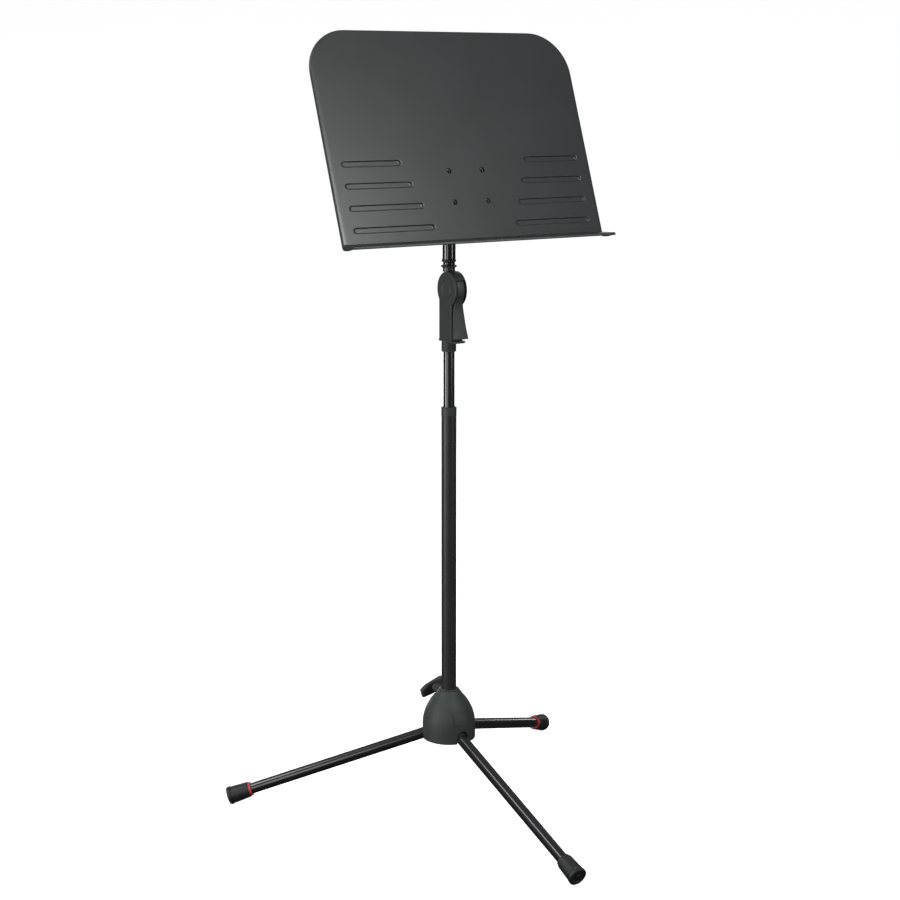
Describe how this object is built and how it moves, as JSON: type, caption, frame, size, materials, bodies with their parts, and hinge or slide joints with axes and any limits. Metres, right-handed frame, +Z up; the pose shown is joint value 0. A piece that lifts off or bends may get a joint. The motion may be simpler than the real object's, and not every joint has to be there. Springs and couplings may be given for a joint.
{
  "type": "music stand",
  "caption": "Tripod music stand with folding legs, a telescopic mast with a one-hand squeeze clutch, and a solid tilting sheet-steel desk with a ledge.",
  "frame": {"origin": "on the mast axis at floor level", "axes": "+Z up the mast, -Y towards the musician's side of the desk, +X to the right when facing the desk"},
  "size_m": [0.6706, 0.5842, 1.2881],
  "materials": {
    "hub_plastic": "fine moulded texture, dark green-grey",
    "grip_plastic": "fine moulded texture, dark grey",
    "nylon": "self-coloured nylon",
    "satin_tube": "satin black powder coat",
    "gloss_tube": "gloss black",
    "black_steel": "black, semi-gloss",
    "desk_powder": "fine-texture powder coat",
    "rubber": "moulded rubber",
    "red_ring": "coloured band",
    "bare_steel": "zinc plated",
    "brass": "turned"
  },
  "bodies": {
    "base": {"hub_shell": "hub_plastic", "hub_liner": "nylon", "leg_pivot_pins": "bare_steel", "clamp_insert": "brass", "clamp_pad": "nylon"},
    "clamp_knob": {"clamp_screw": "bare_steel", "wing_knob": "hub_plastic"},
    "mast": {"mast_tube": "satin_tube", "mast_foot": "hub_plastic", "mast_collar": "grip_plastic"},
    "carriage": {"guide_ring": "nylon"},
    "upper_mast": {"stop_ring": "bare_steel", "inner_tube": "gloss_tube", "brake_body": "nylon", "brake_shoes": "rubber", "brake_spring": "bare_steel", "spring_seat": "nylon", "clutch_base": "grip_plastic", "clutch_shell_left": "grip_plastic", "clutch_shell_right": "grip_plastic", "clutch_screws": "bare_steel", "clutch_cap_left": "grip_plastic", "clutch_cap_right": "grip_plastic", "trigger_pin": "bare_steel", "trigger_spring": "bare_steel", "clutch_stud": "black_steel", "neck_insert": "bare_steel", "neck_tube": "gloss_tube", "neck_head": "black_steel", "friction_washers": "nylon"},
    "release": {"brake_cone": "bare_steel", "release_rod": "bare_steel"},
    "trigger": {"trigger_lever": "grip_plastic"},
    "lock_ring": {"lock_ring": "black_steel"},
    "desk": {"desk_pan": "desk_powder", "tilt_bracket": "black_steel", "desk_screws": "black_steel", "desk_nuts": "black_steel", "tilt_nut": "black_steel", "tilt_washer": "black_steel"},
    "tilt_knob": {"tilt_bolt": "bare_steel", "tilt_knob": "grip_plastic"},
    "leg_front": {"leg_root_front": "hub_plastic", "leg_tube_front": "gloss_tube", "leg_ring_front": "red_ring", "leg_boot_front": "rubber"},
    "leg_right": {"leg_root_right": "hub_plastic", "leg_tube_right": "gloss_tube", "leg_ring_right": "red_ring", "leg_boot_right": "rubber"},
    "leg_left": {"leg_root_left": "hub_plastic", "leg_tube_left": "gloss_tube", "leg_ring_left": "red_ring", "leg_boot_left": "rubber"}
  },
  "joints": [
    {"name": "leg_front_fold", "type": "hinge", "parent": "base", "child": "leg_front", "pos_m": [0, -0.032, 0.12867], "axis": [1, 0, 0], "range_deg": [0, 71]},
    {"name": "leg_right_fold", "type": "hinge", "parent": "base", "child": "leg_right", "pos_m": [0.02771, 0.016, 0.12867], "axis": [-0.5, 0.866, 0], "range_deg": [0, 71]},
    {"name": "leg_left_fold", "type": "hinge", "parent": "base", "child": "leg_left", "pos_m": [-0.02771, 0.016, 0.12867], "axis": [-0.5, -0.866, 0], "range_deg": [0, 71]},
    {"name": "mast_lift", "type": "slide", "parent": "base", "child": "mast", "axis": [0, 0, 1], "range_m": [0, 0.025]},
    {"name": "clamp_knob_turn", "type": "hinge", "parent": "base", "child": "clamp_knob", "pos_m": [0, 0, 0.19247], "axis": [0, 1, 0], "continuous": true},
    {"name": "height_slide", "type": "slide", "parent": "mast", "child": "carriage", "axis": [0, 0, 1], "range_m": [-0.088, 0.3]},
    {"name": "mast_swivel", "type": "hinge", "parent": "carriage", "child": "upper_mast", "pos_m": [0, 0, 0.782], "axis": [0, 0, 1], "continuous": true},
    {"name": "trigger_squeeze", "type": "hinge", "parent": "upper_mast", "child": "trigger", "pos_m": [0, -0.01, 0.884], "axis": [1, 0, 0], "range_deg": [0, 5], "stiffness_Nm_per_rad": 1.5, "springref_deg": -5.73},
    {"name": "release_slide", "type": "slide", "parent": "upper_mast", "child": "release", "axis": [0, 0, 1], "range_m": [0, 0.001], "deforming": ["brake_spring"]},
    {"name": "lock_ring_turn", "type": "hinge", "parent": "upper_mast", "child": "lock_ring", "pos_m": [0, 0, 0.919], "axis": [0, 0, 1], "continuous": true},
    {"name": "desk_tilt", "type": "hinge", "parent": "upper_mast", "child": "desk", "pos_m": [0, 0, 1.0313], "axis": [-1, 0, 0], "range_deg": [-25, 65]},
    {"name": "tilt_knob_turn", "type": "hinge", "parent": "desk", "child": "tilt_knob", "pos_m": [0, 0, 1.0313], "axis": [1, 0, 0], "continuous": true}
  ],
  "couplings": [
    {"joint": "leg_right_fold", "follows": "leg_front_fold", "ratio": 1},
    {"joint": "leg_left_fold", "follows": "leg_front_fold", "ratio": 1},
    {"joint": "mast_lift", "follows": "leg_front_fold", "m_per_rad": 0.0201},
    {"joint": "release_slide", "follows": "trigger_squeeze", "m_per_rad": 0.01}
  ]
}
